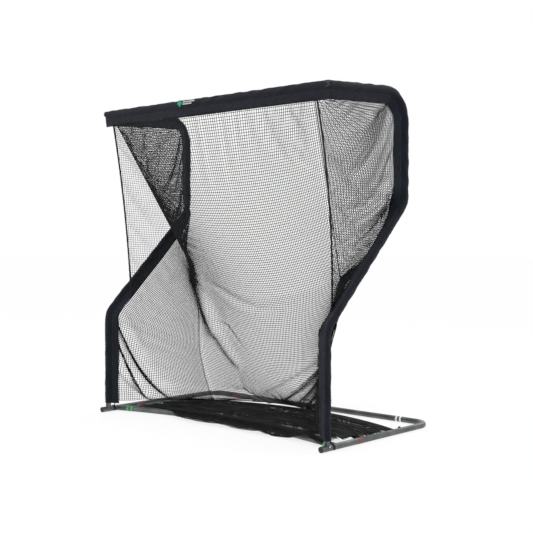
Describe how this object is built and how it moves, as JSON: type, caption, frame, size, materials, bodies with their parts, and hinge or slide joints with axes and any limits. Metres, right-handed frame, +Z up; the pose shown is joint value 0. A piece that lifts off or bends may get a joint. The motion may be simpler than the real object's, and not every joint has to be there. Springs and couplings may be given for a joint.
{
  "type": "golf chipping net",
  "caption": "Free-standing golf chipping net: a plug-together tube frame in fabric sleeves, with a loose ball-stopping net hung inside it.",
  "frame": {"origin": "middle of the footprint, on the ground under the frame", "axes": "+Z up, +X to the player's right, +Y away from the player, who stands at -Y"},
  "size_m": [1.832, 1.024, 1.9349],
  "materials": {
    "tube": "satin anodised aluminium tube",
    "sleeve": "matt woven polyester",
    "netting": "knotless knitted polyester twine",
    "binding": "braided cord and webbing",
    "cap": "moulded, fine texture",
    "button": "plated steel",
    "band_red": "satin plastic ring",
    "band_white": "satin plastic ring",
    "band_green": "satin plastic ring",
    "patch": "woven patch"
  },
  "bodies": {
    "frame": {"rail_front_left": "tube", "rear_corner_tube_left": "tube", "end_cap_left": "cap", "upright_bolt_left": "button", "rail_front_right": "tube", "rear_corner_tube_right": "tube", "end_cap_right": "cap", "upright_bolt_right": "button", "rear_bar": "tube", "front_bar": "tube", "colour_band_rail_left_a": "band_red", "colour_band_rail_left_b": "band_red", "colour_band_rail_right_a": "band_red", "colour_band_rail_right_b": "band_red", "colour_band_rear_left_a": "band_red", "colour_band_rear_left_b": "band_red", "colour_band_rear_right_a": "band_white", "colour_band_rear_right_b": "band_white", "colour_band_front_left_a": "band_green", "colour_band_front_left_b": "band_green", "colour_band_front_right_a": "band_green", "colour_band_front_right_b": "band_green", "upright_lower_left": "tube", "side_tube_upper_left": "tube", "top_corner_connector_left": "cap", "upright_lower_right": "tube", "side_tube_upper_right": "tube", "top_corner_connector_right": "cap", "top_bar_left": "tube", "top_bar_right": "tube", "top_sleeve": "sleeve", "side_sleeve_left": "sleeve", "side_sleeve_right": "sleeve", "main_net": "netting", "side_net_left": "netting", "return_net_left": "netting", "lower_side_net_left": "netting", "side_net_right": "netting", "return_net_right": "netting", "lower_side_net_right": "netting", "floor_net": "netting", "edge_rope_left": "binding", "base_strap_left": "binding", "corner_toggle_left": "cap", "edge_rope_right": "binding", "base_strap_right": "binding", "corner_toggle_right": "cap", "label_patch": "patch"},
    "button_rail_left": {"snap_button_rail_left": "button"},
    "button_rail_right": {"snap_button_rail_right": "button"},
    "button_rear_left": {"snap_button_rear_left": "button"},
    "button_rear_right": {"snap_button_rear_right": "button"},
    "button_front_left": {"snap_button_front_left": "button"},
    "button_front_right": {"snap_button_front_right": "button"}
  },
  "joints": [
    {"name": "press_rail_left", "type": "slide", "parent": "frame", "child": "button_rail_left", "axis": [-1, 0, 0], "range_m": [0, 0.0042], "stiffness_N_per_m": 400},
    {"name": "press_rail_right", "type": "slide", "parent": "frame", "child": "button_rail_right", "axis": [1, 0, 0], "range_m": [0, 0.0042], "stiffness_N_per_m": 400},
    {"name": "press_rear_left", "type": "slide", "parent": "frame", "child": "button_rear_left", "axis": [0, -1, 0], "range_m": [0, 0.0042], "stiffness_N_per_m": 400},
    {"name": "press_rear_right", "type": "slide", "parent": "frame", "child": "button_rear_right", "axis": [0, -1, 0], "range_m": [0, 0.0042], "stiffness_N_per_m": 400},
    {"name": "press_front_left", "type": "slide", "parent": "frame", "child": "button_front_left", "axis": [0.2667, -0.9638, 0], "range_m": [0, 0.0042], "stiffness_N_per_m": 400},
    {"name": "press_front_right", "type": "slide", "parent": "frame", "child": "button_front_right", "axis": [-0.2667, -0.9638, 0], "range_m": [0, 0.0042], "stiffness_N_per_m": 400}
  ]
}
